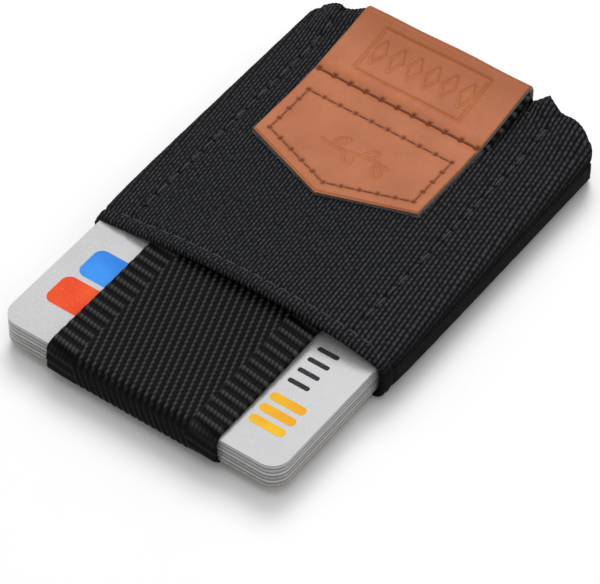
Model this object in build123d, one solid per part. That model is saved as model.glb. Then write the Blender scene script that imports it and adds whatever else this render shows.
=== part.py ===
from build123d import *
import os

# A slim card wallet: an elastic sleeve around six bank cards, with a webbing strap that runs
# under the cards and back over them to a leather pull tab. Millimetres. X is across the wallet,
# +Y points to the mouth where the tab hangs out, +Z is up from the back panel.
# The origin is the middle of the whole wallet, on the face that it lies on.

# Bank card, ID-1 format
card_length = 85.60
card_width = 53.98
card_thickness = 0.76
card_corner_radius = 3.18
card_count = 6
card_gap = 0.07

# Fabric, webbing and leather thicknesses
elastic = 0.90
webbing = 0.90
lining = 0.25
leather = 1.00
backing = 0.60
fabric_gap = 0.05
turn_gap = 0.30

# Sleeve
sleeve_length = 60.7
sleeve_width = 58.0
side_height = 7.85
panel_half_width = 27.4
sleeve_corner_radius = 6.0
edge_radius = 1.6
seam_x = 20.5
hem_depth = 2.8
lining_inset = 3.0

# Strap
strap_width = 33.0
strap_middle_x = -0.5
exposed_length = 25.3
push_travel = 25.0
anchor_inset = 1.5

# Leather tab, measured from its fold towards its tip
tab_width = 34.0
tab_middle_x = -1.5
tab_tip_x = -1.2
flap_length = 16.4
border_row_offset = 4.9
tab_side_length = 33.6
tab_total_length = 39.5
flap_rise = 1.70
patch_overlap = 2.2
border_inset = 2.4
fold_depth = 2.3
turn_radius = 0.30

# Thread
stitch_pitch = 3.0
stitch_length = 2.1
stitch_width = 0.40
stitch_height = 0.25

# Heights, from the face that the wallet lies on upwards
back_run_bottom = elastic + fabric_gap
back_run_top = back_run_bottom + webbing
cards_bottom = back_run_top + fabric_gap
card_pitch = card_thickness + card_gap
cards_top = cards_bottom + (card_count - 1) * card_pitch + card_thickness
lining_bottom = cards_top + fabric_gap
lining_top = lining_bottom + lining
front_run_bottom = lining_top + fabric_gap
front_run_top = front_run_bottom + webbing
panel_bottom = front_run_top + fabric_gap
panel_top = panel_bottom + elastic
patch_bottom = panel_top + fabric_gap
patch_top = patch_bottom + backing
border_top = patch_top + leather
row_top = border_top + webbing
fold_top = row_top + flap_rise

# Places along Y, from the near end of the strap to the leather fold
overall_length = webbing + turn_gap + exposed_length + sleeve_length + turn_gap + webbing + leather
near_end = -overall_length / 2
cards_near = near_end + webbing + turn_gap
lip = cards_near + exposed_length
mouth = lip + sleeve_length
fold_end = overall_length / 2
fold_start = fold_end - fold_depth
cross_row_y = fold_end - flap_length
border_row_y = cross_row_y - border_row_offset
tab_shoulder_y = fold_end - tab_side_length
tab_tip_y = fold_end - tab_total_length
step_low_y = border_row_y + 0.6
step_high_y = cross_row_y - 1.2
bend_end = cards_near + 0.5
middle_end = mouth - 2 * push_travel
back_run_end = lip + push_travel
anchor_end = mouth - anchor_inset

strap_x = (strap_middle_x - strap_width / 2, strap_middle_x + strap_width / 2)
tab_x = (tab_middle_x - tab_width / 2, tab_middle_x + tab_width / 2)
full_height = (0, fold_top + 1)


def block(x_range, y_range, z_range):
    """A plain box between two corners."""
    size = [high - low for low, high in (x_range, y_range, z_range)]
    corner = (x_range[0], y_range[0], z_range[0])
    return Pos(*corner) * Box(*size, align=(Align.MIN, Align.MIN, Align.MIN))


def along_y(section, y_range):
    """A section drawn in X and Z, run from one Y to another."""
    run = extrude(Plane.XZ * section, amount=-(y_range[1] - y_range[0]))
    return Pos(0, y_range[0], 0) * run


def along_x(section, x_range):
    """A section drawn in Y and Z, run from one X to another."""
    return Pos(x_range[0], 0, 0) * extrude(Plane.YZ * section, amount=x_range[1] - x_range[0])


def outline(points):
    """A flat face inside straight edges."""
    return make_face(Polyline(*points, close=True))


def stitch(start, end, bottom):
    """One straight stitch that lies on a surface between two points of a seam."""
    run = Vector(*end) - Vector(*start)
    middle = (Vector(*start) + Vector(*end)) * 0.5
    bar = Box(stitch_length, stitch_width, stitch_height, align=(Align.CENTER, Align.CENTER, Align.MIN))
    angle = Vector(1, 0).get_signed_angle(run, Vector(0, 0, 1))
    return Pos(middle.X, middle.Y, bottom) * Rot(0, 0, angle) * bar


def stitches_along(corners, bottom):
    """Evenly spaced stitches along a seam with straight stretches."""
    bars = []
    for start, end in zip(corners, corners[1:]):
        first = Vector(*start)
        run = Vector(*end) - first
        count = max(1, round(run.length / stitch_pitch))
        for i in range(count):
            low = first + run * (i / count)
            high = first + run * ((i + 1) / count)
            bars.append(stitch((low.X, low.Y), (high.X, high.Y), bottom))
    return bars


def sleeve_plan():
    """The sleeve seen from above: square at the lip, rounded at the two corners of the mouth."""
    half = sleeve_width / 2
    corners = outline([(-half, lip), (half, lip), (half, mouth), (-half, mouth)])
    far_corners = corners.vertices().sort_by(Axis.Y)[-2:]
    return extrude(fillet(far_corners, sleeve_corner_radius), amount=full_height[1])


def sleeve_wall(side):
    """The elastic where it folds round the cards' long edge, on one side."""
    outer = RectangleRounded(sleeve_width, side_height, edge_radius)
    inner = RectangleRounded(sleeve_width - 2 * elastic, side_height - 2 * elastic, edge_radius - elastic)
    ring = along_y(Pos(0, side_height / 2) * (outer - inner), (lip, mouth))
    x_range = (panel_half_width, sleeve_width) if side > 0 else (-sleeve_width, -panel_half_width)
    return ring & block(x_range, (lip, mouth), full_height) & sleeve_plan()


def sleeve_shoulder(side):
    """The strip of the front panel between a lengthwise seam and the side wall."""
    section = outline([
        (side * seam_x, panel_bottom),
        (side * panel_half_width, side_height - elastic),
        (side * panel_half_width, side_height),
        (side * seam_x, panel_top),
    ])
    return along_y(section, (lip, mouth)) & sleeve_plan()


def sunk_rows(base, rows, top):
    """Rows of stitches pulled in flush with a surface, and the layer with a slot for each of them."""
    bars = [bar for row in rows for bar in stitches_along(row, top - stitch_height)]
    for bar in bars:
        base -= bar
    return base, bars


def sleeve():
    """The elastic sleeve, its lining and its seams."""
    flat = (-panel_half_width, panel_half_width)
    middle = (-seam_x, seam_x)
    hem_x = seam_x - stitch_pitch
    front = block(middle, (lip, mouth), (panel_bottom, panel_top))
    lip_row = [(-hem_x, lip + hem_depth), (hem_x, lip + hem_depth)]
    mouth_row = [(-hem_x, mouth - hem_depth), (hem_x, mouth - hem_depth)]
    front, lip_thread = sunk_rows(front, [lip_row], panel_top)
    front, mouth_thread = sunk_rows(front, [mouth_row], panel_top)
    parts = {
        "sleeve_back_panel": block(flat, (lip, mouth), (0, elastic)) & sleeve_plan(),
        "sleeve_front_panel": front,
        "sleeve_left_shoulder": sleeve_shoulder(-1),
        "sleeve_right_shoulder": sleeve_shoulder(1),
        "sleeve_left_wall": sleeve_wall(-1),
        "sleeve_right_wall": sleeve_wall(1),
        "strap_channel_lining": block(middle, (lip + lining_inset, mouth), (lining_bottom, lining_top)),
        "lip_hem_thread": lip_thread,
        "mouth_hem_thread": mouth_thread,
    }
    for name, side in (("left_seam_thread", -1), ("right_seam_thread", 1)):
        x = side * seam_x
        run = [(x, lip + hem_depth + stitch_pitch), (x, mouth - hem_depth)]
        parts[name] = stitches_along(run, panel_top)
    return parts


def strap_turn(x_range, y_end, z_range, thickness, inner_radius, side):
    """A layer turned round an edge: two flat runs joined by a wall with rounded corners."""
    depth = 20
    height = z_range[1] - z_range[0]
    outer = RectangleRounded(depth, height, inner_radius + thickness)
    inner = RectangleRounded(depth - 2 * thickness, height - 2 * thickness, inner_radius)
    middle_y = y_end - side * depth / 2
    return along_x(Pos(middle_y, sum(z_range) / 2) * (outer - inner), x_range)


def strap():
    """The webbing strap, from its sewn end under the cards round to the tab."""
    back_z = (back_run_bottom, back_run_top)
    front_z = (front_run_bottom, front_run_top)
    bend = strap_turn(strap_x, near_end, (back_run_bottom, front_run_top), webbing, turn_radius, -1)
    tie_x = (strap_x[0] + anchor_inset, strap_x[1] - anchor_inset)
    tie_y = (anchor_end - anchor_inset, anchor_end - anchor_inset - 2 * stitch_pitch)
    anchor = block(strap_x, (back_run_end, anchor_end), back_z)
    anchor, tie_thread = sunk_rows(anchor, [[(tie_x[0], y), (tie_x[1], y)] for y in tie_y], back_run_top)
    return {
        "strap_anchor": anchor,
        "strap_anchor_thread": tie_thread,
        "strap_back_run": block(strap_x, (lip, back_run_end), back_z),
        "strap_under_run": block(strap_x, (bend_end, lip), back_z),
        "strap_end_bend": bend & block(strap_x, (near_end, bend_end), full_height),
        "strap_cover_run": block(strap_x, (bend_end, lip), front_z),
        "strap_middle_run": block(strap_x, (lip, middle_end), front_z),
        "strap_front_run": block(strap_x, (middle_end, fold_start), front_z),
        "strap_fold": strap_fold(),
    }


def strap_fold():
    """The webbing where it comes out of the mouth and folds back over the front panel."""
    z_range = (front_run_bottom, fold_top - leather)
    turn = strap_turn(strap_x, fold_end - leather, z_range, webbing, turn_radius, 1)
    return turn & block(strap_x, (fold_start, fold_end), full_height)


def tab_section(top_offset, thickness, y_start):
    """The side view of one layer of the tab, from y_start to the fold."""
    step = [(tab_tip_y, border_top), (step_low_y, border_top), (step_high_y, row_top), (fold_start, fold_top)]
    tops = [(y, z - top_offset) for y, z in step if y >= y_start]
    bottoms = [(y, z - thickness) for y, z in reversed(tops)]
    return outline(tops + bottoms)


def tab_plan(inset=0.0):
    """The corners of the tab's outline, with its pointed end, drawn in from its edge."""
    slant = inset * 0.5
    return [
        (tab_x[0] + inset, tab_shoulder_y + slant),
        (tab_tip_x, tab_tip_y + inset * 1.1),
        (tab_x[1] - inset, tab_shoulder_y + slant),
    ]


def tab_outline(y_end):
    """The tab seen from above, from its tip to y_end."""
    corners = [(tab_x[0], y_end), *tab_plan(), (tab_x[1], y_end)]
    return extrude(outline(corners), amount=full_height[1])


def leather_fold():
    """The leather where it turns over the webbing at the mouth."""
    z_range = (front_run_bottom - leather, fold_top)
    turn = strap_turn(tab_x, fold_end, z_range, leather, turn_radius + webbing, 1)
    clear_of_cards = (front_run_bottom, fold_top)
    return turn & block(tab_x, (fold_start, fold_end), clear_of_cards)


def tab():
    """The leather pull tab, with the strap's end sewn inside it."""
    front = along_x(tab_section(0, leather, tab_tip_y), tab_x) & tab_outline(fold_start)
    web_end = along_x(tab_section(leather, webbing, step_high_y), strap_x)
    patch_end = cross_row_y + patch_overlap
    patch = tab_outline(patch_end) & block(tab_x, (tab_tip_y, patch_end), (patch_bottom, patch_top))
    row_rise = (cross_row_y - step_high_y) / (fold_start - step_high_y) * flap_rise
    row_x = (tab_x[0] + border_inset, tab_x[1] - border_inset)
    cross_row = stitches_along([(row_x[0], cross_row_y), (row_x[1], cross_row_y)], row_top + 2 * row_rise)
    corners = [(row_x[0], border_row_y), *tab_plan(border_inset), (row_x[1], border_row_y)]
    return {
        "tab_leather_front": front,
        "tab_leather_back": patch,
        "tab_webbing_end": web_end,
        "tab_cross_stitches": cross_row,
        "tab_border_stitches": stitches_along(corners + corners[:1], border_top),
        "leather_fold": leather_fold(),
    }


def cards():
    """The bank cards, from the back of the stack to the front."""
    plan = extrude(RectangleRounded(card_width, card_length, card_corner_radius), amount=card_thickness)
    middle_y = cards_near + card_length / 2
    return {
        f"card_{i + 1}": Pos(0, middle_y, cards_bottom + i * card_pitch) * plan for i in range(card_count)
    }


def write_parts():
    """Writes one STEP file for each piece."""
    os.makedirs("parts", exist_ok=True)
    for name, shape in {**sleeve(), **strap(), **tab(), **cards()}.items():
        solids = shape if isinstance(shape, list) else shape.solids()
        export_step(Compound(children=list(solids)), f"parts/{name}.step")


write_parts()
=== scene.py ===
import math
import bpy
import numpy as np
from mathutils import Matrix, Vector


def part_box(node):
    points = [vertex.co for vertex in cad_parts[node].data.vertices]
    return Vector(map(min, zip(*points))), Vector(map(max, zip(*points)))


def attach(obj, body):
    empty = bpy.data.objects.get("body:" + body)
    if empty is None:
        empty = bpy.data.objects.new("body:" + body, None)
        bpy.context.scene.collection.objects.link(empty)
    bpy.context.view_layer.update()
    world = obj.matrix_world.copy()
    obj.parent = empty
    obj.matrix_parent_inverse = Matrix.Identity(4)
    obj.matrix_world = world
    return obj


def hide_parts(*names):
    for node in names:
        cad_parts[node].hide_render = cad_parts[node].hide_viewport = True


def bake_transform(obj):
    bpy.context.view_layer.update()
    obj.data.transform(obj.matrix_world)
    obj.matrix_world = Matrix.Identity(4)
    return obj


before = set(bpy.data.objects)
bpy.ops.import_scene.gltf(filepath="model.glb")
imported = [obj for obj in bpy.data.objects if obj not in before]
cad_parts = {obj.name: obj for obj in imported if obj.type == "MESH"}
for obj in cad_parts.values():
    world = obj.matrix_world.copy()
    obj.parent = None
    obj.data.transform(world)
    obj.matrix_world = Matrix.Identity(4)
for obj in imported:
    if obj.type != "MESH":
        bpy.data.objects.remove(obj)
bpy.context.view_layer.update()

# Everything is worked out in millimetres in the CAD's frame and turned into metres in new_mesh().
MM = 0.001


def box_mm(node):
    """Lowest and highest corner of a CAD node, in millimetres."""
    low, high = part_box(node)
    return low / MM, high / MM


panel_low, panel_high = box_mm("sleeve_front_panel")
wall_high = box_mm("sleeve_right_wall")[1]
card_low, card_high = box_mm("card_6")
strap_low, strap_high = box_mm("strap_front_run")
under_low, under_high = box_mm("strap_under_run")
anchor_high = box_mm("strap_anchor")[1]
lining_low, lining_high = box_mm("strap_channel_lining")
fold_high = box_mm("leather_fold")[1]
tab_low, tab_high = box_mm("tab_leather_front")

LIP = panel_low.y
MOUTH = panel_high.y
PANEL_TOP = panel_high.z
HALF_WIDTH = wall_high.x - 0.2
CARD_TOP = card_high.z
CARD_NEAR = card_low.y
WEBBING = strap_high.z - strap_low.z
STRAP_MIDDLE = (strap_low.x + strap_high.x) / 2
STRAP_WIDTH = strap_high.x - strap_low.x

# The tab as it lies: its fold, its rows of stitches and its pointed end
FOLD_Y = fold_high.y - 0.9
FOLD_TOP = fold_high.z
TAB_LEFT = tab_low.x + 0.65
TAB_RIGHT = tab_high.x - 0.45
TIP_X = -1.3
ROW_Y = FOLD_Y - 15.9
BORDER_Y = ROW_Y - 4.9
SHOULDER_Y = FOLD_Y - 33.1
TIP_Y = SHOULDER_Y - 5.8
STRAIGHT_Y = SHOULDER_Y + 9.0
LEATHER = 1.05
BORDER_INSET = 2.2

SEAMS = (-22.4, 20.6)
STITCH_PITCH = 3.0


# ---------------- camera and light

def make_camera():
    """A long lens that looks down on the wallet from its near right."""
    azimuth, elevation = math.radians(36.16), math.radians(47.6)
    target = Vector((4.09, -6.39, -0.47)) * MM
    distance = 596.9 * MM
    back = Vector((
        math.sin(azimuth) * math.cos(elevation),
        -math.cos(azimuth) * math.cos(elevation),
        math.sin(elevation),
    ))
    data = bpy.data.cameras.new("camera")
    data.lens = 224.2
    data.sensor_width = 36.0
    data.clip_start = 0.01
    data.clip_end = 10
    camera = bpy.data.objects.new("camera", data)
    camera.location = target + back * distance
    camera.rotation_mode = "QUATERNION"
    camera.rotation_quaternion = (-back).to_track_quat("-Z", "Y")
    bpy.context.collection.objects.link(camera)
    bpy.context.scene.camera = camera


def area_light(name, place, size, power):
    """A soft square lamp that looks at the wallet. place is in metres."""
    data = bpy.data.lights.new(name, "AREA")
    data.shape = "SQUARE"
    data.size = size
    data.energy = power
    lamp = bpy.data.objects.new(name, data)
    lamp.location = place
    lamp.rotation_mode = "QUATERNION"
    lamp.rotation_quaternion = (-Vector(place)).to_track_quat("-Z", "Y")
    bpy.context.collection.objects.link(lamp)


def make_studio():
    """A white floor, a pale room and three soft lamps."""
    scene = bpy.context.scene
    scene.view_settings.view_transform = "Standard"
    world = bpy.data.worlds.new("studio")
    world.use_nodes = True
    world.node_tree.nodes["Background"].inputs["Color"].default_value = (1, 1, 1, 1)
    world.node_tree.nodes["Background"].inputs["Strength"].default_value = 0.45
    scene.world = world
    area_light("key", (-0.25, 0.45, 0.75), 0.5, 4.2)
    area_light("fill", (0.6, -0.35, 0.6), 0.7, 0.9)
    area_light("top", (0.0, 0.0, 0.9), 0.8, 2.0)
    shader = Shader("floor", 0.93, 0.6)
    speckle = shader.noise(shader.object_place(), 60.0)
    shader.colour_between(speckle, 0.92, 0.94)
    half = 2000
    corners = [(-half, -half, 0), (half, -half, 0), (half, half, 0), (-half, half, 0)]
    floor = new_mesh("floor", corners, [(0, 1, 2, 3)], [shader.material])
    floor.location.z = -0.0002


# ---------------- materials

def linear(code):
    """A hex colour as Blender's linear values. A plain number is a linear grey."""
    if isinstance(code, float):
        return (code, code, code)
    parts = [int(code[i:i + 2], 16) / 255 for i in (1, 3, 5)]
    return tuple(p / 12.92 if p <= 0.04045 else ((p + 0.055) / 1.055) ** 2.4 for p in parts)


class Shader:
    """A Principled material and short ways to add nodes to it."""

    def __init__(self, name, colour, roughness, **settings):
        self.material = bpy.data.materials.new(name)
        self.material.use_nodes = True
        self.tree = self.material.node_tree
        self.surface = self.tree.nodes["Principled BSDF"]
        self.surface.inputs["Base Color"].default_value = (*linear(colour), 1)
        self.surface.inputs["Roughness"].default_value = roughness
        for socket, value in settings.items():
            self.surface.inputs[socket.replace("_", " ")].default_value = value

    def link(self, source, target):
        """Joins two sockets, or writes a number into the second."""
        if isinstance(source, (int, float)):
            target.default_value = source
        else:
            self.tree.links.new(source, target)

    def math(self, operation, first, second=0.0, third=0.0):
        node = self.tree.nodes.new("ShaderNodeMath")
        node.operation = operation
        for value, socket in zip((first, second, third), node.inputs):
            self.link(value, socket)
        return node.outputs[0]

    def attribute(self, name):
        node = self.tree.nodes.new("ShaderNodeAttribute")
        node.attribute_name = name
        return node.outputs["Fac"]

    def object_place(self):
        return self.tree.nodes.new("ShaderNodeTexCoord").outputs["Object"]

    def cloth_place(self):
        """A place on the cloth itself, in millimetres across and along it."""
        node = self.tree.nodes.new("ShaderNodeCombineXYZ")
        self.link(self.attribute("across"), node.inputs[0])
        self.link(self.attribute("along"), node.inputs[1])
        return node.outputs[0]

    def z_of(self, vector):
        node = self.tree.nodes.new("ShaderNodeSeparateXYZ")
        self.link(vector, node.inputs[0])
        return node.outputs["Z"]

    def noise(self, place, scale, detail=3.0, roughness=0.6):
        node = self.tree.nodes.new("ShaderNodeTexNoise")
        node.inputs["Scale"].default_value = scale
        node.inputs["Detail"].default_value = detail
        node.inputs["Roughness"].default_value = roughness
        self.link(place, node.inputs["Vector"])
        return node.outputs["Fac"]

    def cells(self, place, scale):
        node = self.tree.nodes.new("ShaderNodeTexVoronoi")
        node.inputs["Scale"].default_value = scale
        self.link(place, node.inputs["Vector"])
        return node.outputs["Distance"]

    def wave(self, turns):
        """0 to 1 and back, once for each whole turn."""
        angle = self.math("MULTIPLY", turns, 2 * math.pi)
        return self.math("MULTIPLY_ADD", self.math("COSINE", angle), 0.5, 0.5)

    def mix(self, factor, first, second):
        node = self.tree.nodes.new("ShaderNodeMix")
        node.data_type = "RGBA"
        self.link(factor, node.inputs["Factor"])
        for value, socket in ((first, node.inputs["A"]), (second, node.inputs["B"])):
            if isinstance(value, (str, float)):
                socket.default_value = (*linear(value), 1)
            else:
                self.tree.links.new(value, socket)
        return node.outputs["Result"]

    def set_colour(self, colour):
        self.link(colour, self.surface.inputs["Base Color"])

    def colour_between(self, factor, first, second):
        """Colours the surface from first to second with a factor from 0 to 1."""
        self.set_colour(self.mix(factor, first, second))

    def range(self, value, low, high, to_low=0.0, to_high=1.0):
        """Stretches low..high onto to_low..to_high, held at both ends."""
        node = self.tree.nodes.new("ShaderNodeMapRange")
        self.link(value, node.inputs["Value"])
        for socket, number in zip(("From Min", "From Max", "To Min", "To Max"), (low, high, to_low, to_high)):
            node.inputs[socket].default_value = number
        return node.outputs["Result"]

    def bump(self, height, distance, strength=1.0, under=None):
        """Raises the surface by height times distance, in millimetres."""
        node = self.tree.nodes.new("ShaderNodeBump")
        node.inputs["Distance"].default_value = distance * MM
        node.inputs["Strength"].default_value = strength
        self.link(height, node.inputs["Height"])
        if under is not None:
            self.tree.links.new(under, node.inputs["Normal"])
        self.link(node.outputs["Normal"], self.surface.inputs["Normal"])
        return node.outputs["Normal"]

    def set_roughness(self, value):
        self.link(value, self.surface.inputs["Roughness"])


def elastic_material():
    """Charcoal elastic: fine lengthwise ribs of small staggered yarn loops, with painted shade making it
    almost black between them.
    """
    shader = Shader("elastic", "#1d1f22", 0.85, Specular_IOR_Level=0.08)
    ribs = shader.attribute("across")
    along = shader.attribute("along")
    ridge = shader.wave(ribs)
    drift = shader.noise(shader.cloth_place(), 0.3, 2.0)
    shifted = shader.math("MULTIPLY_ADD", drift, 1.2, shader.math("DIVIDE", along, 1.08))
    loop = shader.wave(shader.math("MULTIPLY_ADD", shader.math("ROUND", ribs), 0.5, shifted))
    fuzz = shader.noise(shader.cloth_place(), 2.4, 4.0, 0.75)
    speck = shader.noise(shader.cloth_place(), 1.1, 2.0, 0.5)
    crest = shader.math("POWER", ridge, 1.2)
    yarn = shader.math("MULTIPLY", crest, shader.math("MULTIPLY_ADD", loop, 0.65, 0.35))
    uneven = shader.math("MULTIPLY", yarn, shader.range(speck, 0.3, 0.7, 0.35, 1.5))
    light = shader.math("MULTIPLY_ADD", uneven, 0.85, shader.math("MULTIPLY", fuzz, 0.22))
    # Painted shade: the colour runs from near black in the grooves to grey on the yarn crests.
    body = shader.mix(shader.range(light, 0.10, 0.80), "#040405", "#404145")
    # Painted shade: the shade attribute colours the sleeve's walls, lower corners and seam holes near black.
    shaded = shader.mix(shader.attribute("shade"), body, "#070708")
    shader.set_colour(shaded)
    loops = shader.bump(yarn, 0.16, 0.9)
    shader.bump(fuzz, 0.05, 0.5, loops)
    shader.set_roughness(shader.range(fuzz, 0.3, 0.7, 0.7, 0.9))
    return shader.material


def webbing_material():
    """Black twill webbing: each rib is a row of slanted yarns, with painted shade in the grooves between
    them.
    """
    shader = Shader("webbing", "#19191a", 0.55, Specular_IOR_Level=0.07)
    across = shader.attribute("across")
    along = shader.attribute("along")
    ridge = shader.attribute("relief")
    edge = shader.attribute("edge")
    middle_turns = shader.math("MULTIPLY_ADD", across, 0.78, shader.math("MULTIPLY", along, -0.855))
    edge_turns = shader.math("MULTIPLY_ADD", along, 0.25, shader.math("DIVIDE", across, 0.72))
    middle_yarn = shader.wave(middle_turns)
    edge_yarn = shader.wave(edge_turns)
    difference = shader.math("SUBTRACT", edge_yarn, middle_yarn)
    yarn = shader.math("MULTIPLY_ADD", difference, edge, middle_yarn)
    strands = shader.noise(shader.cloth_place(), 4.0, 3.0, 0.7)
    crest = shader.math("POWER", ridge, 2.0)
    weave = shader.math("MULTIPLY", crest, shader.math("MULTIPLY_ADD", yarn, 0.7, 0.3))
    light = shader.math("MULTIPLY_ADD", weave, 0.9, shader.math("MULTIPLY", strands, 0.2))
    # Painted shade: the colour runs from near black in the twill's valleys to grey on its crests.
    body = shader.mix(shader.range(light, 0.14, 0.85), "#020202", "#404040")
    # Painted shade: the shade attribute colours the strap near black where it bends down steeply.
    shader.colour_between(shader.attribute("shade"), body, "#070708")
    threads = shader.bump(weave, 0.16, 0.9)
    shader.bump(strands, 0.05, 0.4, threads)
    shader.set_roughness(shader.range(strands, 0.3, 0.7, 0.42, 0.65))
    return shader.material


def leather_material():
    """Tan leather: satin, with a fine grain, cloudy tone and pressed-in holes darkened with painted shade."""
    shader = Shader("leather", "#b1683f", 0.4, Specular_IOR_Level=0.25)
    place = shader.cloth_place()
    pit = shader.attribute("relief")
    cloud = shader.noise(place, 0.12, 3.0, 0.55)
    grain = shader.cells(place, 2.6)
    pores = shader.noise(place, 3.5, 5.0, 0.7)
    along = shader.attribute("along")
    tone = shader.mix(shader.range(cloud, 0.3, 0.7), "#a65a2e", "#b5693d")
    warm = shader.mix(shader.range(along, FOLD_Y - 9, FOLD_Y, 0.0, 0.85), tone, "#964a17")
    spotted = shader.mix(shader.range(pores, 0.45, 0.75, 0.0, 0.22), warm, "#85451f")
    # Painted shade: the leather is coloured dark brown in and round its stitch holes.
    hole_shaded = shader.mix(shader.range(pit, 0.08, 0.75), spotted, "#6b2c0e")
    shader.set_colour(hole_shaded)
    fine = shader.bump(grain, 0.05, 0.45)
    shader.bump(pores, 0.05, 0.45, fine)
    shader.set_roughness(shader.range(pores, 0.3, 0.75, 0.36, 0.56))
    return shader.material


def fuzzy_material(name, dark, light):
    """The flesh side of the leather: short dark fibres that stand up at the cut edge."""
    shader = Shader(name, dark, 0.9, Sheen_Weight=0.35, Sheen_Roughness=0.5)
    place = shader.cloth_place()
    fibres = shader.noise(place, 6.0, 5.0, 0.8)
    tufts = shader.noise(place, 1.4, 3.0, 0.6)
    both = shader.math("MULTIPLY_ADD", fibres, 0.6, shader.math("MULTIPLY", tufts, 0.4))
    shader.colour_between(shader.range(both, 0.36, 0.66), dark, light)
    shader.bump(both, 0.25, 0.8)
    return shader.material


def thread_material(name, dark, light):
    """Twisted sewing thread."""
    shader = Shader(name, dark, 0.6, Sheen_Weight=0.2)
    turns = shader.math("MULTIPLY_ADD", shader.attribute("across"), 1.0,
                        shader.math("MULTIPLY", shader.attribute("along"), 2.6))
    twist = shader.wave(turns)
    shader.colour_between(twist, dark, light)
    shader.bump(twist, 0.05, 0.8)
    return shader.material


def lining_material():
    """Thin black woven lining."""
    shader = Shader("lining", "#161617", 0.7)
    place = shader.cloth_place()
    warp = shader.wave(shader.math("DIVIDE", shader.attribute("across"), 0.5))
    weft = shader.wave(shader.math("DIVIDE", shader.attribute("along"), 0.5))
    weave = shader.math("MULTIPLY", warp, weft)
    fibre = shader.noise(place, 4.0)
    light = shader.math("MULTIPLY_ADD", weave, 0.6, shader.math("MULTIPLY", fibre, 0.4))
    shader.colour_between(light, "#0c0c0d", "#2a2a2c")
    shader.bump(weave, 0.04, 0.6)
    return shader.material


def card_material(name, base, tint, middle, line):
    """Silver card plastic with fine metallic flake under a clear face, with painted shade along the top and
    bottom of its cut edge, where the cards meet.
    """
    shader = Shader(name, base, 0.34, Coat_Weight=0.25, Coat_Roughness=0.25)
    place = shader.object_place()
    flake = shader.cells(place, 2600.0)
    cloud = shader.noise(place, 45.0, 3.0)
    sparkle = shader.noise(place, 2400.0, 2.0)
    toned = shader.mix(shader.range(cloud, 0.3, 0.7), base, tint)
    face = shader.mix(shader.range(sparkle, 0.52, 0.72, 0.0, 0.35), toned, "#dcdcde")
    from_middle = shader.math("ABSOLUTE", shader.math("SUBTRACT", shader.z_of(place), middle * MM))
    # Painted shade: dark lines along the top and bottom of each card's cut edge, where the cards lie on one
    # another.
    gap_shade = shader.range(from_middle, line * MM, 0.38 * MM, 0.0, 0.9)
    facing = shader.tree.nodes.new("ShaderNodeNewGeometry").outputs["Normal"]
    sideways = shader.range(shader.math("ABSOLUTE", shader.z_of(facing)), 0.85, 0.55)
    shader.set_colour(shader.mix(shader.math("MULTIPLY", gap_shade, sideways), face, "#2c2b2a"))
    shader.bump(flake, 0.008, 0.25)
    shader.set_roughness(shader.range(sparkle, 0.35, 0.7, 0.28, 0.46))
    return shader.material


def print_material(name, first, second, size):
    """Ink on a card: a soft blend of two tones with a slight speckle."""
    shader = Shader(name, first, 0.55, Specular_IOR_Level=0.15)
    place = shader.object_place()
    blend = shader.noise(place, 1000.0 / size, 1.0)
    speckle = shader.noise(place, 2600.0, 2.0)
    toned = shader.mix(shader.range(blend, 0.35, 0.65), first, second)
    shader.set_colour(shader.mix(shader.range(speckle, 0.55, 0.75, 0.0, 0.08), toned, "#d8d8da"))
    shader.bump(speckle, 0.005, 0.2)
    return shader.material


# ---------------- mesh building

def new_mesh(name, points, faces, materials, attributes=(), material_index=None):
    """A mesh object from points in millimetres and rows of four corner numbers."""
    points = np.asarray(points, float).reshape(-1, 3)
    faces = np.asarray(faces, np.int64).reshape(-1, 4)
    a, b, c, d = (points[faces[:, i]] for i in range(4))
    volume = np.einsum("ij,ij->i", a, np.cross(b, c)).sum() + np.einsum("ij,ij->i", a, np.cross(c, d)).sum()
    if volume < 0:
        faces = faces[:, ::-1]
    mesh = bpy.data.meshes.new(name)
    mesh.vertices.add(len(points))
    mesh.vertices.foreach_set("co", (points * MM).astype(np.float32).ravel())
    mesh.loops.add(faces.size)
    mesh.loops.foreach_set("vertex_index", faces.ravel().astype(np.int32))
    mesh.polygons.add(len(faces))
    mesh.polygons.foreach_set("loop_start", np.arange(0, faces.size, 4, dtype=np.int32))
    mesh.polygons.foreach_set("loop_total", np.full(len(faces), 4, np.int32))
    mesh.polygons.foreach_set("use_smooth", np.ones(len(faces), bool))
    for material in materials:
        mesh.materials.append(material)
    if material_index is not None:
        mesh.polygons.foreach_set("material_index", np.asarray(material_index, np.int32).ravel())
    mesh.update()
    mesh.validate()
    for key, values in dict(attributes).items():
        layer = mesh.attributes.new(key, "FLOAT", "POINT")
        layer.data.foreach_set("value", np.asarray(values, np.float32).ravel())
    made = bpy.data.objects.new(name, mesh)
    bpy.context.collection.objects.link(made)
    return made


def lattice_faces(rows, columns, wrap_rows=False):
    """Corner numbers of a lattice whose columns close into a ring."""
    numbers = np.arange(rows * columns).reshape(rows, columns)
    below = numbers if wrap_rows else numbers[:-1]
    above = np.roll(numbers, -1, axis=0) if wrap_rows else numbers[1:]
    return np.stack([below, np.roll(below, -1, 1), np.roll(above, -1, 1), above], -1).reshape(-1, 4)


def cap_faces(ring):
    """Closes one end of a flat ring by joining each corner to the one across from it."""
    half = len(ring) // 2
    across = ring[::-1]
    return [(ring[i], ring[i + 1], across[i + 1], across[i]) for i in range(half - 1)]


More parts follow.
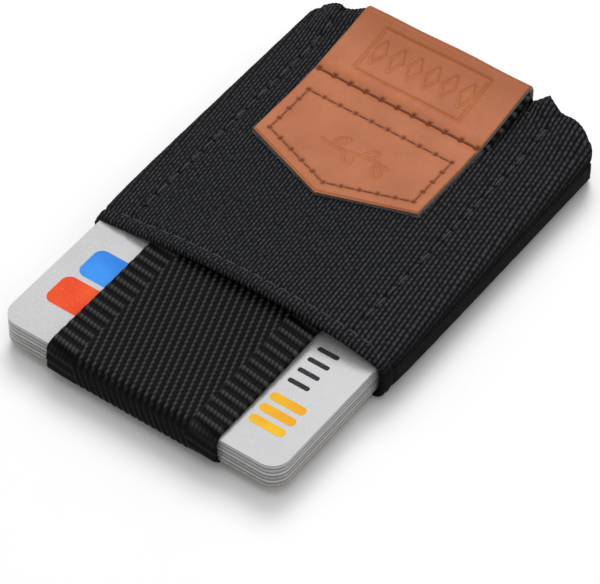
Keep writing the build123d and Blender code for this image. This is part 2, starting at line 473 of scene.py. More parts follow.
def shell(name, points, materials, attributes, material_index=None):
    """A closed solid from rows of rings, capped at both ends."""
    rows, columns, _ = points.shape
    faces = lattice_faces(rows, columns)
    numbers = np.arange(rows * columns).reshape(rows, columns)
    ends = cap_faces(numbers[0]) + [face[::-1] for face in cap_faces(numbers[-1])]
    index = None
    if material_index is not None:
        index = np.concatenate([np.asarray(material_index).ravel(), np.full(len(ends), 1)])
    return new_mesh(name, points, np.vstack([faces, ends]), materials, attributes, index)


def smoothstep(value, low, high):
    """0 below low, 1 above high, smooth between."""
    t = np.clip((value - low) / (high - low), 0, 1)
    return t * t * (3 - 2 * t)


def bell(value, middle, width):
    """A smooth hump of height 1."""
    return np.exp(-((value - middle) / width) ** 2)


def resample(corners, steps):
    """Points along a 2-D line at the given distances from its start, with their unit normals."""
    corners = np.asarray(corners, float)
    run = np.concatenate([[0], np.cumsum(np.hypot(*np.diff(corners, axis=0).T))])
    at = np.interp(steps, run, corners[:, 0]), np.interp(steps, run, corners[:, 1])
    line = np.stack(at, -1)
    ahead = np.gradient(line, axis=0)
    ahead /= np.linalg.norm(ahead, axis=1)[:, None]
    return line, np.stack([-ahead[:, 1], ahead[:, 0]], -1)


def line_length(corners):
    """The length of a 2-D line."""
    return float(np.hypot(*np.diff(np.asarray(corners, float), axis=0).T).sum())


def section_ring(left, right, step, edge_points=6):
    """A flat strap's section: x, height from -1 to 1, for a ring that starts at the left edge's middle."""
    count = max(8, int(round((right - left) / step)))
    top_x = np.linspace(left, right, count)
    turn = np.linspace(0, math.pi / 2, edge_points + 1)[:-1]
    up_x, up_h = left - np.cos(turn), np.sin(turn)
    down = np.pi / 2 - np.linspace(0, math.pi / 2, edge_points + 1)[1:]
    down_x, down_h = right + np.cos(down), np.sin(down)
    x = np.concatenate([up_x, top_x, down_x])
    height = np.concatenate([up_h, np.ones(count), down_h])
    edge = np.concatenate([up_x - left, np.zeros(count), down_x - right])
    x_full = np.concatenate([x, x[::-1]])
    height_full = np.concatenate([height, -height[::-1]])
    edge_full = np.concatenate([edge, edge[::-1]])
    return x_full - edge_full, edge_full, height_full


# ---------------- the elastic sleeve

RIB_PITCH = 0.66
WIDE_RIB_PITCH = 0.80
RIB_SLANT = 0.10
CORNER = 2.2
SIDE_X = HALF_WIDTH - CORNER
ELASTIC = 0.85
UNDERSIDE = 0.30


def side_top(y, side):
    """Height of the sleeve's long edge, on one side."""
    near = np.exp(-(y - LIP) / 15)
    return 8.0 + 0.35 * near if side > 0 else 7.75 - 0.2 * near


def front_height(x, y):
    """Height of the front panel's outer face, before its ribs."""
    share = (x + SIDE_X) / (2 * SIDE_X)
    sides = side_top(y, -1) * (1 - share) + side_top(y, 1) * share
    span = np.clip(1 - (np.abs(x) / SIDE_X) ** 3.5, 0, 1)
    crown = 1.2 * span
    lip_hump = 1.7 * np.clip(1 - (np.abs(x - 4) / 24) ** 1.8, 0, 1) * np.exp(-((y - LIP) / 9.5) ** 1.3)
    corner_puff = 1.9 * bell(np.abs(x), 23.2, 3.4) + 0.9 * (1 - smoothstep(np.abs(x), 17, 22))
    puff = corner_puff * smoothstep(y, MOUTH - 11, MOUTH)
    return sides + crown + lip_hump + puff + 1.5 * mouth_lobe(x) * smoothstep(y, MOUTH - 5.0, MOUTH)


def mouth_lobe(x):
    """Where the front panel's edge stands up, at the mouth end of each seam: 0 to 1."""
    right = np.clip(np.minimum((x - 15.4) / 2.4, (21.9 - x) / 4.3), 0, 1)
    left = smoothstep(-x, 15.0, 18.0) * (1 - smoothstep(-x, 18.4, 22.0))
    return np.where(x > 0, right ** 1.2, 0.8 * left)


def mouth_line(x, rule, angle):
    """How far the sleeve reaches at the mouth, with its rounded corners."""
    radius = 4.6
    into = np.clip(np.abs(x) - (HALF_WIDTH - radius), 0, radius)
    rounded = MOUTH - radius + np.sqrt(np.clip(radius ** 2 - into ** 2, 0, None))
    wall = MOUTH - 2.9
    corner = MOUTH - radius + math.sqrt(radius ** 2 - (SIDE_X - HALF_WIDTH + radius) ** 2)
    turned = corner + (wall - corner) * (1 - np.sin(angle)) ** 0.8
    along_edge = np.where(rule == "wall", wall, rounded)
    return np.where(np.char.endswith(rule, "_corner"), turned, along_edge)


def sleeve_columns():
    """Columns round the sleeve from its back panel: place on each stretch, the stretch's name, its side."""
    corner = np.linspace(0, 90, 10)[:-1]
    wall = np.linspace(0, 1, 11)[:-1]
    stretches = [
        (np.linspace(-SIDE_X, SIDE_X, 241)[:-1], "under", 0),
        (corner, "low_corner", 1),
        (wall, "wall", 1),
        (corner, "high_corner", 1),
        (np.linspace(SIDE_X, -SIDE_X, 333)[:-1], "front", 0),
        (90 - corner, "high_corner", -1),
        (1 - wall, "wall", -1),
        (90 - corner, "low_corner", -1),
    ]
    places, names, sides = zip(*stretches)
    counts = [len(place) for place in places]
    return np.concatenate(places), np.repeat(names, counts), np.repeat(sides, counts)


def sleeve_surface(share):
    """The sleeve's outer face at shares of its length, without ribs: points by row and column."""
    value, rule, side = sleeve_columns()
    angle = np.radians(value)
    under, low_corner, wall, high_corner, front = (
        rule == name for name in ("under", "low_corner", "wall", "high_corner", "front")
    )
    x = np.select(
        [under | front, wall, low_corner, high_corner],
        [value, side * HALF_WIDTH, side * (SIDE_X + CORNER * np.sin(angle)),
         side * (SIDE_X + CORNER * np.cos(angle))],
    )
    corner_angle = np.where(low_corner, np.pi / 2 - angle, angle)
    end = mouth_line(x, rule, corner_angle) + np.where(front, 1.6 * mouth_lobe(x), 0.0)
    start = LIP + 0.75
    y = start + share[:, None] * (end - start)[None, :]
    grid_x = np.broadcast_to(x, y.shape).copy()
    top = np.where(side > 0, side_top(y, 1), side_top(y, -1))
    under_swell = 0.25 * (1 - smoothstep(np.abs(grid_x), 14, 24))
    low, high = UNDERSIDE + CORNER, top - CORNER
    z = np.select(
        [under, low_corner, high_corner, wall, front],
        [UNDERSIDE - under_swell, UNDERSIDE + CORNER * (1 - np.cos(angle)),
         top - CORNER * (1 - np.sin(angle)), low + value * (high - low), front_height(grid_x, y)],
    )
    bulge = 0.25 * np.sin(np.pi * np.clip((z - 1) / 7, 0, 1))
    grid_x = grid_x + np.where(wall, side * bulge, 0.0)
    outside = np.clip((np.abs(x) - SIDE_X) / CORNER, 0, 1)
    drawn_in = np.where(side > 0, 0.45, 0.8) * outside * np.exp(-(y - LIP) / 5)
    grid_x = grid_x - side * drawn_in
    return np.stack([grid_x, y, z], -1), rule


def surface_normals(points):
    """Outward unit normals of a lattice of points whose columns close into a ring."""
    along = np.gradient(points, axis=0)
    across = np.roll(points, -1, 1) - np.roll(points, 1, 1)
    normal = np.cross(along, across)
    normal /= np.linalg.norm(normal, axis=-1)[..., None] + 1e-12
    middle = points.mean(axis=1, keepdims=True)
    outward = np.sign(np.einsum("ijk,ijk->i", normal, points - middle).sum())
    return normal * outward


def seam_holes(points):
    """Where the needle went in along the two seams: 0 to 1."""
    x, y = points[..., 0], points[..., 1]
    share = np.zeros(x.shape)
    for seam in SEAMS:
        hole = (0.5 + 0.5 * np.cos(2 * np.pi * y / STITCH_PITCH)) ** 6
        share = np.maximum(share, bell(x, seam, 0.42) * hole * (y > LIP + 5))
    return share


def rib_count(points, round_it):
    """The number of ribs round the sleeve up to each place; they are stretched wider apart on the right."""
    x = points[0, :, 0]
    pitch = RIB_PITCH + (WIDE_RIB_PITCH - RIB_PITCH) * smoothstep(x, 2, 24)
    ribs = np.concatenate([[0], np.cumsum(np.diff(round_it) * 2 / (pitch[1:] + pitch[:-1]))])
    slanted = points[..., 1] * RIB_SLANT / RIB_PITCH
    return ribs[None, :] - slanted


def sleeve_relief(points, ribs, rule):
    """How far the ribs, seams and hems stand out of the plain surface, and the ribs' own share."""
    x, y = points[..., 0], points[..., 1]
    rib = 0.5 + 0.5 * np.cos(2 * np.pi * ribs)
    hem = 1 - smoothstep(y, LIP + 1.9, LIP + 2.5)
    rib_height = np.where(rule == "front", 0.08, 0.05) * (1 - 0.5 * hem)
    height = rib_height * rib
    height += 0.12 * hem - 0.28 * bell(y, LIP + 2.7, 0.4)
    height -= 0.12 * bell(y, LIP + 1.1, 0.25)
    front = rule == "front"
    mouth_hem = bell(y, MOUTH - 2.6, 0.4) * (np.abs(x) < 20)
    height -= np.where(front, 0.18 * mouth_hem, 0)
    for seam in SEAMS:
        groove = bell(x, seam, 0.55)
        hole = 0.5 + 0.5 * np.cos(2 * np.pi * y / STITCH_PITCH)
        height -= np.where(front, groove * (0.16 + 0.42 * hole ** 4), 0)
    return height, rib


def make_sleeve(material):
    """One tube of elastic, with a rolled hem at the lip and at the mouth."""
    outer_rows = 158
    share = np.linspace(0, 1, outer_rows)
    base, rule = sleeve_surface(share)
    normal = surface_normals(base)
    step = np.linalg.norm(np.roll(base[0], -1, 0) - base[0], axis=1)
    round_it = np.concatenate([[0], np.cumsum(step)[:-1]])
    ribs = rib_count(base, round_it)
    relief, rib = sleeve_relief(base, ribs, rule[None, :])
    outer = base + normal * relief[..., None]
    hem = (rule != "under") * (1 - smoothstep(base[..., 1], LIP + 1.9, LIP + 2.5))
    # The wall is thinner where the strap slides past it
    over_strap = 1 - smoothstep(np.abs(base[..., 0]), 18, 22)
    room = np.select([rule == "front", rule == "under"], [0.45, 0.2]) * over_strap
    thickness = ELASTIC + 0.35 * hem - room * (1 - hem)
    inner = base - normal * thickness[..., None]
    inside_rows = [outer_rows - 1, outer_rows - 4, outer_rows - 12, outer_rows - 30, 100, 60, 30, 12, 5, 2, 0]

    def rim(row, direction):
        """A rolled edge from the outer face to the inner one."""
        turn = np.linspace(0, math.pi, 8)[1:-1]
        middle = (outer[row] + inner[row]) / 2
        arm = (outer[row] - inner[row]) / 2
        reach = np.linalg.norm(arm, axis=1)[:, None] * np.array([[0, direction, 0]])
        return np.array([middle + arm * math.cos(t) + reach * math.sin(t) for t in turn])

    mouth_rim, lip_rim = rim(outer_rows - 1, 1), rim(0, -1)[::-1]
    points = np.concatenate([outer, mouth_rim, inner[inside_rows], lip_rim])

    def round_wall(face, mouth, lip):
        """A value for each point: outer face, rim at the mouth, inner face, rim at the lip."""
        rim_shape = mouth_rim.shape[:2]
        return np.concatenate([
            face, np.broadcast_to(mouth, rim_shape), face[inside_rows], np.broadcast_to(lip, rim_shape),
        ])

    ridge = round_wall(rib, rib[-1] * 0.6, rib[0] * 0.6)
    across = round_wall(ribs, ribs[-1], ribs[0])
    mouth_turn, lip_turn = (edge[..., 1] + edge[..., 2] * 0.5 for edge in (mouth_rim, lip_rim))
    turned = round_wall(base[..., 1], mouth_turn, lip_turn)
    # Painted shade: the walls, the low corners, the upper corners below 6.2 mm and the seam holes on the
    # front are coloured near black through the shade attribute.
    painted_shade = np.where(rule == "front", 0.0, 0.93)
    painted_shade = np.where(rule == "high_corner", 0.93 * smoothstep(-base[0, :, 2], -side_top(LIP, 1), -6.2), painted_shade)
    painted_shade = np.where(rule == "under", 0.0, painted_shade) * np.ones((len(points), 1))
    painted_shade = np.maximum(painted_shade, 0.9 * seam_holes(points) * (rule == "front"))
    attributes = {"across": across, "along": turned, "relief": ridge, "shade": painted_shade}
    faces = lattice_faces(*points.shape[:2], wrap_rows=True)
    sleeve = new_mesh("sleeve_elastic", points, faces, [material], attributes)
    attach(sleeve, "sleeve")
    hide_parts("sleeve_front_panel", "sleeve_back_panel", "sleeve_left_shoulder",
                "sleeve_right_shoulder", "sleeve_left_wall", "sleeve_right_wall")


# ---------------- the webbing strap

TWILL_PITCH = 1.27
TWILL_SLANT = 0.327
EDGE_PITCH = 1.9
EDGE_BAND = 5.4


def twill(across, along):
    """The webbing's relief from 0 to 1, its share of crosswise edge weave, across and along in mm."""
    half = STRAP_WIDTH / 2
    edge = smoothstep(np.abs(across), half - EDGE_BAND - 0.3, half - EDGE_BAND + 0.3)
    middle = 0.5 + 0.5 * np.cos(2 * np.pi * (across + along * TWILL_SLANT) / TWILL_PITCH)
    crosswise = 0.5 + 0.5 * np.cos(2 * np.pi * (along + across * 0.124) / EDGE_PITCH)
    return middle ** 0.8 * (1 - edge) + crosswise ** 0.8 * edge, edge


def webbing_piece(name, corners, steps, material, column_step, left=None, right=None, crown=None):
    """A strap of webbing along a line in Y and Z."""
    left = strap_low.x if left is None else left
    right = strap_high.x if right is None else right
    line, normal = resample(corners, steps)
    x, edge_out, height = section_ring(left + WEBBING / 2, right - WEBBING / 2, column_step)
    along = steps[:, None]
    weave, edge_share = twill(x[None, :] - STRAP_MIDDLE, along)
    thick = WEBBING / 2
    raised = np.sign(height[None, :]) * 0.26 * weave * np.abs(height[None, :])
    offset = height[None, :] * (thick - 0.14) + raised
    wobble = 0.06 * np.sin(along * 2.1) * (edge_out[None, :] != 0)
    grid_x = x[None, :] + edge_out[None, :] * thick * (1 + wobble) + np.zeros_like(along)
    y = line[:, None, 0] + normal[:, None, 0] * offset
    z = line[:, None, 1] + normal[:, None, 1] * offset
    if crown is not None:
        z = z + crown(grid_x, line[:, None, 0] + 0 * grid_x, line[:, None, 1] + 0 * grid_x)
    points = np.stack([grid_x, y, z], -1)
    # Painted shade: the steep parts of the strap, such as its bend round the cards' near edge, are coloured
    # near black.
    attributes = {
        "across": x[None, :] - STRAP_MIDDLE + np.zeros_like(along),
        "along": along + np.zeros_like(grid_x),
        "relief": weave,
        "edge": edge_share + np.zeros_like(along),
        "shade": 0.95 * (1 - smoothstep(np.abs(normal[:, None, 1]), 0.45, 0.995)) + np.zeros_like(grid_x),
    }
    piece = shell(name, points, [material], attributes)
    return piece


def strap_crown(x, y, z):
    """The front run humps up in the middle of its width where it goes in under the lip."""
    across = np.clip(1 - ((x - 3.0) / 19.0) ** 2, 0, 1)
    rise = smoothstep(y, CARD_NEAR + 4, LIP - 1) * (1 - smoothstep(y, LIP + 2, LIP + 12))
    return 0.5 * across * rise * (z > 5)


def make_strap(material):
    """The strap in three lengths: round the cards, back run, and the turn into the tab."""
    under_z = (under_low.z + under_high.z) / 2
    front_z = (strap_low.z + strap_high.z) / 2
    cover_z = CARD_TOP + 0.05 + WEBBING / 2
    middle_z = (under_z + cover_z) / 2
    half_height = (cover_z - under_z) / 2
    bend_depth = 2.2
    bend_y = CARD_NEAR + 1.5
    turn = np.linspace(-math.pi / 2, math.pi / 2, 41)
    squareness = 2 / 3.2
    bend = [
        (bend_y - bend_depth * math.cos(t) ** squareness,
         middle_z + half_height * math.copysign(abs(math.sin(t)) ** squareness, t))
        for t in turn
    ]
    corners = [(LIP, under_z), *bend, (LIP - 8, cover_z + 0.05), (LIP, front_z), (strap_high.y, front_z)]
    length = line_length(corners)
    under = LIP - bend_y
    exposed = under + line_length(bend) + (LIP - bend_y)
    hidden = exposed + 10.5
    steps = np.concatenate([
        np.arange(0, under, 0.6), np.arange(under, exposed + 3, 0.3),
        np.arange(exposed + 3, hidden, 0.8), np.arange(hidden, length, 1.2), [length],
    ])
    main = webbing_piece("strap_main", corners, steps, material, 0.2, crown=strap_crown)
    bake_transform(main)
    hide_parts("strap_under_run", "strap_end_bend", "strap_cover_run",
                "strap_middle_run", "strap_front_run")

    back_corners = [(LIP, under_z), (anchor_high.y, under_z)]
    back_steps = np.arange(0, anchor_high.y - LIP, 0.8)
    back = webbing_piece("strap_back", back_corners, back_steps, material, 0.8)
    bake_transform(back)
    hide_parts("strap_back_run", "strap_anchor")

    fold_in = FOLD_Y - LEATHER - WEBBING / 2
    flap_z = flap_height(FOLD_Y - 2.0) - LEATHER - WEBBING / 2 - 0.05
    row_z = flap_height(ROW_Y) - LEATHER - WEBBING / 2 + 0.1
    rise = np.linspace(-math.pi / 2, math.pi / 2, 25)
    mid_z, half_z = (front_z + flap_z) / 2, (flap_z - front_z) / 2
    loop = [
        (fold_in - 1.6 + 1.6 * math.cos(t) ** 0.6, mid_z + half_z * math.copysign(abs(math.sin(t)) ** 0.7, t))
        for t in rise
    ]
    turn_corners = [(strap_high.y - 1.5, front_z), *loop, (ROW_Y + 1.5, row_z)]
    turn_steps = np.arange(0, line_length(turn_corners), 0.35)
    turn_piece = webbing_piece("strap_turn", turn_corners, turn_steps, material, 0.3,
                               left=TAB_LEFT + 0.9, right=TAB_RIGHT + 0.55)
    # The bend is slanted, so that the webbing's end at the cross row turns with the tab
    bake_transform(turn_piece)
    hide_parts("strap_fold", "tab_webbing_end")


# ---------------- the leather tab

def flap_height(y):
    """Height of the tab's outer face along its middle, from its tip to its fold."""
    tip_top = PANEL_TOP + 0.1 + LEATHER
    row_top = tip_top + 0.35
    flap = np.clip((y - ROW_Y) / (FOLD_Y - ROW_Y), 0, 1)
    rise = (FOLD_TOP - row_top) * (0.75 * flap + 0.25 * flap ** 2)
    return tip_top + 0.35 * smoothstep(y, BORDER_Y - 1, ROW_Y) + rise


def tab_border():
    """The tab's border row in plan: a closed line of corners, drawn in from the tab's edge."""
    inset = BORDER_INSET
    slope = (SHOULDER_Y - TIP_Y) / ((TAB_RIGHT - TAB_LEFT) / 2)
    drop = inset * (math.hypot(1, slope) - slope)
    return [
        (TAB_LEFT + inset, BORDER_Y),
        (TAB_LEFT + inset, SHOULDER_Y + drop),
        (TIP_X, TIP_Y + inset * math.hypot(1, slope)),
        (TAB_RIGHT - inset, SHOULDER_Y + drop),
        (TAB_RIGHT - inset, BORDER_Y),
        (TAB_LEFT + inset, BORDER_Y),
    ]


def stitch_ends(corners, pitch=STITCH_PITCH):
    """The holes of a row of stitches along straight stretches."""
    holes = []
    for start, end in zip(corners, corners[1:]):
        start, end = np.array(start, float), np.array(end, float)
        count = max(1, round(float(np.linalg.norm(end - start)) / pitch))
        holes += [start + (end - start) * i / count for i in range(count)]
    return holes + [np.array(corners[-1], float)]


def near_segments(x, y, segments):
    """Distance from each place to the nearest of some straight segments."""
    best = np.full(np.broadcast(x, y).shape, 1e9)
    for (ax, ay), (bx, by) in segments:
        dx, dy = bx - ax, by - ay
        t = np.clip(((x - ax) * dx + (y - ay) * dy) / (dx * dx + dy * dy + 1e-9), 0, 1)
        best = np.minimum(best, np.hypot(x - ax - t * dx, y - ay - t * dy))
    return best


def pairs(points):
    """Neighbouring points as segments."""
    return list(zip(points, points[1:]))


def dots(points):
    """Each point as a segment of no length."""
    return [(point, point) for point in points]


def plain_badge():
    """The pressed frame on the flap: a rectangle round a row of lozenges."""
    left, right = TAB_LEFT + 5.6, TAB_RIGHT - 6.4
    low, high = ROW_Y + 2.9, FOLD_Y - 3.4
    frame_line = pairs([(left, low), (right, low), (right, high), (left, high), (left, low)])
    lozenges = []
    count = 6
    middle_y = (low + high) / 2
    for i in range(count):
        x = left + (i + 0.5) * (right - left) / count
        wide, tall = 1.15, 2.6
        lozenges += pairs([(x - wide, middle_y), (x, middle_y + tall), (x + wide, middle_y),
                           (x, middle_y - tall), (x - wide, middle_y)])
    return frame_line, lozenges


def sprig():
    """The pressed ornament on the pointed end: a plain stem with four leaves."""
    middle_x, middle_y = (TAB_LEFT + TAB_RIGHT) / 2 + 0.5, (SHOULDER_Y + BORDER_Y) / 2 - 1.5
    lines = []
    stem = [(middle_x + t, middle_y + 0.5 * math.sin(t / 2.2)) for t in np.linspace(-6.5, 6.5, 14)]
    lines += pairs(stem)
    for at, side in ((-4.2, 1), (-1.4, -1), (1.4, 1), (4.2, -1)):
        leaf = []
        for t in np.linspace(0, 2 * math.pi, 15):
            length, width = 2.3 * (0.5 - 0.5 * math.cos(t)), 0.95 * math.sin(t)
            leaf.append((middle_x + at + length * 0.8 + width * 0.4 * side,
                         middle_y + side * (0.4 + length * 0.8) - width * 0.6))
        lines += pairs(leaf)
    return lines


CROSS_ROW = [(TAB_LEFT + 0.8, ROW_Y), (TAB_RIGHT - 0.6, ROW_Y)]


def leather_relief(x, y):
    """How deep the leather's face is pressed in, and how much painted shade darkens its holes."""
    border = tab_border()
    holes = near_segments(x, y, dots(stitch_ends(border)))
    big_holes = near_segments(x, y, dots(stitch_ends(CROSS_ROW)))
    deep = 0.10 * bell(near_segments(x, y, pairs(border)), 0, 0.5) + 0.18 * bell(holes, 0, 0.33)
    deep += 0.20 * bell(near_segments(x, y, pairs(CROSS_ROW)), 0, 1.0) + 0.28 * bell(big_holes, 0, 0.42)
    frame_line, lozenges = plain_badge()
    deep += 0.20 * bell(near_segments(x, y, frame_line), 0, 0.26)
    deep += 0.17 * bell(near_segments(x, y, lozenges), 0, 0.24)
    deep += 0.17 * bell(near_segments(x, y, sprig()), 0, 0.24)
    # Painted shade for the stitch holes, carried in the relief attribute.
    dark = np.clip(1.1 * bell(holes, 0, 0.40) + 1.3 * bell(big_holes, 0, 0.52), 0, 1)
    return deep, dark


def tab_plan_y(share, x):
    """Y on the tab at a share of the way from its tip edge to its fold."""
    slope_left = (SHOULDER_Y - TIP_Y) / (TIP_X - TAB_LEFT)
    slope_right = (SHOULDER_Y - TIP_Y) / (TAB_RIGHT - TIP_X)
    edge = TIP_Y + np.where(x < TIP_X, (TIP_X - x) * slope_left, (x - TIP_X) * slope_right)
    part = np.clip(share, 0, 1)
    return edge + (STRAIGHT_Y - edge) * part


def make_leather(leather, flesh, thread):
    """The tan strip from its pointed end over the fold to the mouth."""
    column_step = 0.2
    x, edge_out, height = section_ring(TAB_LEFT + 0.3, TAB_RIGHT - 0.3, column_step, 4)
    fold_start = FOLD_Y - 1.7
    plan = [tab_plan_y(share, x) for share in np.linspace(0, 1, 72)]
    plan += [np.full_like(x, value) for value in np.arange(STRAIGHT_Y + 0.2, fold_start, 0.2)]
    rows = [(y, flap_height(y), np.zeros_like(x), np.ones_like(x)) for y in plan]
    top = flap_height(fold_start)
    bend_z = 1.9
    for share in np.linspace(0, 1, 26)[1:]:
        angle = min(share / 0.6, 1) * math.pi / 2
        drop = max(0, share - 0.6) / 0.4 * 2.6
        y = fold_start + 1.7 * math.sin(angle) - 0.5 * (drop / 2.6) ** 2
        z = top - bend_z * (1 - math.cos(angle)) - drop
        rows.append([np.full_like(x, value) for value in (y, z, math.sin(angle), math.cos(angle))])
    y, z, normal_y, normal_z = np.array([list(row) for row in rows]).transpose(1, 0, 2)
    steps = np.hypot(np.diff(y, axis=0), np.diff(z, axis=0))
    path = np.concatenate([np.zeros((1, len(x))), np.cumsum(steps, 0)])
    along = y[0:1] + path
    grid_x = np.broadcast_to(x + edge_out * 0.3, y.shape)
    deep, dark = leather_relief(grid_x, np.minimum(along, FOLD_Y + 3))
    on_top = height[None, :] > 0.5
    side_gap = np.minimum(grid_x - TAB_LEFT, TAB_RIGHT - grid_x)
    front_gap = (y - y[0:1]) * 0.95
    from_edge = 1 - np.clip(np.minimum(side_gap, front_gap) / 0.45, 0, 1)
    round_off = 0.35 * (1 - np.sqrt(np.clip(1 - from_edge ** 2, 0, 1)))
    lift = 0.10 * np.sin(along * 0.33 + grid_x * 0.11) + 0.07 * np.sin(grid_x * 0.37 + 1.0)
    out = np.where(on_top, -deep - round_off, 0.0) - LEATHER * (1 - height[None, :]) / 2
    out = out + lift * smoothstep(along, ROW_Y - 2, ROW_Y + 6) * 0.8
    points = np.stack([grid_x, y + normal_y * out, z + normal_z * out], -1)
    upper = (height > 0.75) & (np.roll(height, -1) > 0.75)
    index = np.broadcast_to(np.where(upper, 0, 1), (len(rows) - 1, len(x)))
    attributes = {"across": grid_x, "along": along, "relief": np.where(on_top, dark, 0)}
    tab = shell("tab_leather", points, [leather, flesh], attributes, index)
    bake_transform(tab)
    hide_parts("tab_leather_front", "leather_fold")
    make_backing(flesh)
    thread_row("border_stitches", stitch_ends(tab_border()), thread, 0.21, "pull_tab",
               leather_face, "tab_border_stitches")
    thread_row("cross_stitches", stitch_ends(CROSS_ROW), thread, 0.26, "pull_tab",
               leather_face, "tab_cross_stitches")


def leather_face(_x, y):
    """Height of the leather's face under a stitch."""
    return float(flap_height(y)) - 0.17


def make_backing(flesh):
    """The dark backing under the tab's pointed end, seen at its edge."""
    x, edge_out, height = section_ring(TAB_LEFT + 0.15, TAB_RIGHT - 0.15, 0.4, 3)
    share = np.linspace(0, 1, 60)
    rows = [tab_plan_y(s, x) for s in share]
    rows += [np.full_like(x, v) for v in np.arange(STRAIGHT_Y + 0.4, ROW_Y + 1.2, 0.4)]
    y = np.array(rows)
    ragged = 0.08 * np.sin(y * 5.1 + x * 7.3) + 0.06 * np.sin(y * 11.7 - x * 3.9)
    grid_x = x + edge_out * (0.25 + ragged)
    y = y - 0.12 * (y < y[0:1] + 0.5) + ragged * (y < y[0:1] + 0.3)
    top = flap_height(y) - LEATHER + 0.02
    bottom = np.minimum(front_height(grid_x, y) + 0.02, top - 0.15)
    z = np.where(height[None, :] >= 0, top, bottom)
    points = np.stack([grid_x, y, z], -1)
    patch = shell("tab_backing", points, [flesh], {"across": grid_x, "along": y})
    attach(patch, "pull_tab")
    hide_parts("tab_leather_back")


# ---------------- thread

def thread_row(name, holes, material, radius, body, height_at, node, up=1):
    """A row of stitches, each a short bent thread that dips into its holes. up is -1 underneath."""
    sides, rings = 8, 9
    points, faces, across, along = [], [], [], []
    for start, end in zip(holes, holes[1:]):
        ahead = (end - start) / (np.linalg.norm(end - start) + 1e-9)
        beside = np.array([-ahead[1], ahead[0]])
        first = len(points)
        for i in range(rings):
            t = i / (rings - 1)
            place = start + (end - start) * (0.06 + 0.88 * t)
            arch = math.sin(math.pi * t) ** 0.5
            height = height_at(*place) + up * radius * (1.15 * arch - 0.75)
            thick = radius * (0.35 + 0.65 * min(1, 5 * min(t, 1 - t)))
            for k in range(sides):
                angle = 2 * math.pi * k / sides
                flat = place + beside * thick * math.cos(angle)
                points.append((flat[0], flat[1], height + thick * math.sin(angle)))
                across.append(k / sides)
                along.append(t * float(np.linalg.norm(end - start)))
        numbers = np.arange(first, first + rings * sides).reshape(rings, sides)
        faces += (lattice_faces(rings, sides) + first).tolist()
        faces += cap_faces(numbers[0]) + [face[::-1] for face in cap_faces(numbers[-1])]
    piece = new_mesh(name, points, faces, [material], {"across": across, "along": along})
    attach(piece, body)
    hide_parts(node)


def make_sleeve_thread(material):
    """The sleeve's seams, hems and the stitches that tie the strap's end to the back panel."""
    def face(x, y):
        return float(front_height(np.float64(x), np.float64(y))) - 0.12

    def hem_face(x, y):
        return face(x, y) - 0.16

    def hem(name, y, left, right, node):
        thread_row(name, stitch_ends([(left, y), (right, y)], 2.6), material, 0.17,
                   "sleeve", hem_face, node)

    first = math.ceil((LIP + 4) / STITCH_PITCH) * STITCH_PITCH
    count = int((MOUTH - 2 - first) / STITCH_PITCH)
    for name, x in zip(("left_seam", "right_seam"), SEAMS):
        holes = [np.array((x, first + i * STITCH_PITCH)) for i in range(count + 1)]
        thread_row(name, holes, material, 0.17, "sleeve", face, name + "_thread")
    hem("lip_hem_stitches", LIP + 2.6, -25.0, 25.0, "lip_hem_thread")
    hem("mouth_hem_stitches", MOUTH - 2.6, -19.5, 17.5, "mouth_hem_thread")
    tie_y = (anchor_high.y - 1.5, anchor_high.y - 7.5)
    left, right = strap_low.x + 1.5, strap_high.x - 1.5
    corners = [(left, tie_y[0]), (right, tie_y[0]), (right, tie_y[1]), (left, tie_y[1]), (left, tie_y[0])]
    thread_row("anchor_stitches", stitch_ends(corners), material, 0.15, "sleeve",
               lambda x, y: 0.05, "strap_anchor_thread", up=-1)


# ---------------- lining and cards

def make_lining(material):
    """The thin channel lining behind the front panel."""
    left, right = lining_low.x + 0.2, lining_high.x - 0.2
    x, edge_out, height = section_ring(left, right, 0.8, 2)
    y = np.linspace(lining_low.y, lining_high.y - 0.3, 60)[:, None]
    middle = (lining_low.z + lining_high.z) / 2
    half = (lining_high.z - lining_low.z) / 2
    ripple = 0.015 * np.sin(y * 0.9) * np.cos(x[None, :] * 0.5)
    z = middle + height[None, :] * half + ripple
    grid_x = x[None, :] + edge_out[None, :] * half + 0 * y
    points = np.stack([grid_x, y + 0 * grid_x, z], -1)
    lining = shell("channel_lining", points, [material], {"across": grid_x, "along": y + 0 * grid_x})
    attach(lining, "sleeve")
    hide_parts("strap_channel_lining")


def rounded_plate(points, faces, index, middle, size, radius, material):
    """Adds a thin printed shape with rounded corners to a list of points and faces."""
    half = (size[0] / 2 - radius, size[1] / 2 - radius)
    first = len(points)
    ring = []
    for k in range(32):
        angle = 2 * math.pi * (k + 0.5) / 32
        x = math.copysign(half[0], math.cos(angle)) + radius * math.cos(angle)
        y = math.copysign(half[1], math.sin(angle)) + radius * math.sin(angle)
        ring.append((middle[0] + x, middle[1] + y))
    for z in (CARD_TOP + 0.002, CARD_TOP + 0.022):
        points.extend((x, y, z) for x, y in ring)
    low = list(range(first, first + 32))
    high = list(range(first + 32, first + 64))
    sides = [(low[k], low[(k + 1) % 32], high[(k + 1) % 32], high[k]) for k in range(32)]
    caps = cap_faces(high) + [face[::-1] for face in cap_faces(low)]
    faces.extend(sides + caps)
    index.extend([material] * (len(sides) + len(caps)))


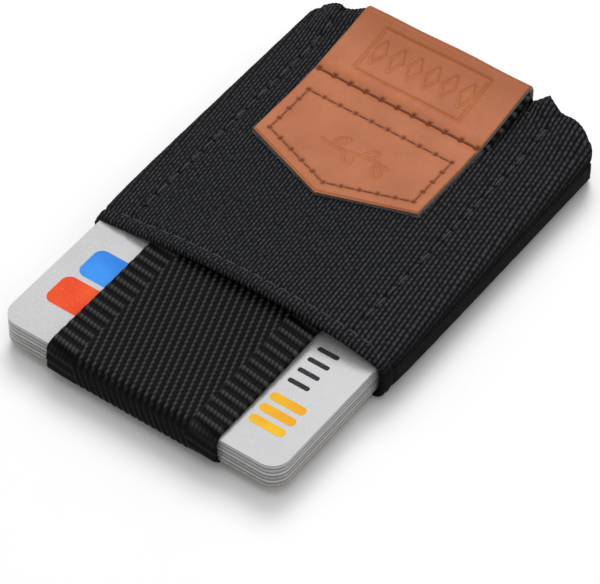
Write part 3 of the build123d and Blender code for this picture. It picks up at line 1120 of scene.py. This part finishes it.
def make_card_print():
    """Plain coloured shapes printed on the front card."""
    inks = [
        print_material("ink_blue", "#1f74d8", "#3390ea", 9.0),
        print_material("ink_orange", "#e0350f", "#ea5318", 9.0),
        print_material("ink_yellow", "#eaa508", "#f0bc1c", 6.0),
        print_material("ink_grey", "#1c1c1f", "#2a2a2e", 6.0),
    ]
    points, faces, index = [], [], []
    rounded_plate(points, faces, index, (-18.3, -26.0), (9.8, 6.4), 1.6, 0)
    rounded_plate(points, faces, index, (-19.0, -33.4), (9.8, 6.4), 1.6, 1)
    for i in range(3):
        rounded_plate(points, faces, index, (20.2, -36.9 + i * 2.7), (6.6, 1.7), 0.8, 2)
    for i in range(4):
        rounded_plate(points, faces, index, (19.2, -27.4 + i * 2.6), (4.0, 0.9), 0.4, 3)
    piece = new_mesh("card_6_print", points, faces, inks, {}, index)
    piece.data.polygons.foreach_set("use_smooth", np.zeros(len(faces), bool))
    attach(piece, "card_6")


def make_cards():
    """The six bank cards keep their CAD shapes."""
    tones = [("#8b8783", "#98948f"), ("#a3a19e", "#adaba8"), ("#83807c", "#918e8a"),
             ("#a9a9ab", "#b4b4b6"), ("#8f9093", "#9c9da0"), ("#a4a3a5", "#b0afb1")]
    for i, (base, tint) in enumerate(tones, 1):
        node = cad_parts[f"card_{i}"]
        low, high = box_mm(f"card_{i}")
        # How far from its middle the painted shade on each card's cut edge begins.
        line = 0.27 if i % 2 else 0.16
        material = card_material(f"card_plastic_{i}", base, tint, (low.z + high.z) / 2, line)
        node.data.materials.clear()
        node.data.materials.append(material)
        bevel = node.modifiers.new("edge", "BEVEL")
        bevel.width = 0.14 * MM
        bevel.segments = 2
        bevel.limit_method = "ANGLE"
    make_card_print()


make_camera()
make_studio()
elastic = elastic_material()
webbing = webbing_material()
black_thread = thread_material("black_thread", "#0b0b0c", "#26262a")
brown_thread = thread_material("brown_thread", "#6e3216", "#9c5528")
make_sleeve(elastic)
make_strap(webbing)
make_leather(leather_material(), fuzzy_material("flesh_side", "#17120f", "#75695d"), brown_thread)
make_sleeve_thread(black_thread)
make_lining(lining_material())
make_cards()
